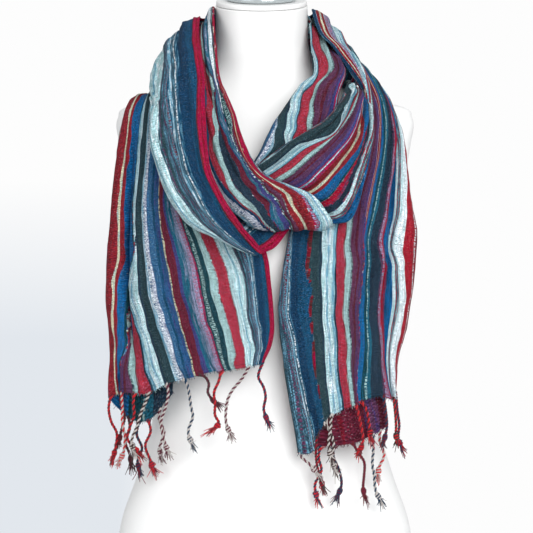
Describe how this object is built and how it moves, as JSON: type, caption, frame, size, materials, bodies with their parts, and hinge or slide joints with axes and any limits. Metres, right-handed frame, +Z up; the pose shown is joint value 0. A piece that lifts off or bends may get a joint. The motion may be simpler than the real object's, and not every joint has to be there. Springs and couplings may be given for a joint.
{
  "type": "fringed scarf on a limbless dress form",
  "caption": "Long striped woven cotton scarf with twisted fringe, wound once round the neck of a plain limbless dress form that stands on its flat base.",
  "frame": {"origin": "middle of the dress form's flat underside", "axes": "+Z up along the form, front of the scarf towards -Y, +X to the right of a viewer who faces the front"},
  "size_m": [0.3591, 0.2746, 0.7246],
  "materials": {
    "scarf_cloth": "plain-woven crinkled cotton with warp stripes, matt",
    "scarf_fringe": "hand-twisted cotton strands with knots and frayed tips",
    "form_shell": "smooth satin white shell",
    "form_cap": "smooth glossy pale grey"
  },
  "bodies": {
    "root": {"form_torso": "form_shell", "form_neck_cap": "form_shell", "form_cap_knob": "form_cap", "left_end": "scarf_cloth", "right_end": "scarf_cloth", "loop_outer_left": "scarf_cloth", "loop_crossing": "scarf_cloth", "loop_low_turn": "scarf_cloth", "loop_right_main": "scarf_cloth", "loop_right_inner": "scarf_cloth", "neck_back_outer": "scarf_cloth", "neck_back_inner": "scarf_cloth", "left_fringe": "scarf_fringe", "right_fringe": "scarf_fringe"}
  },
  "joints": []
}
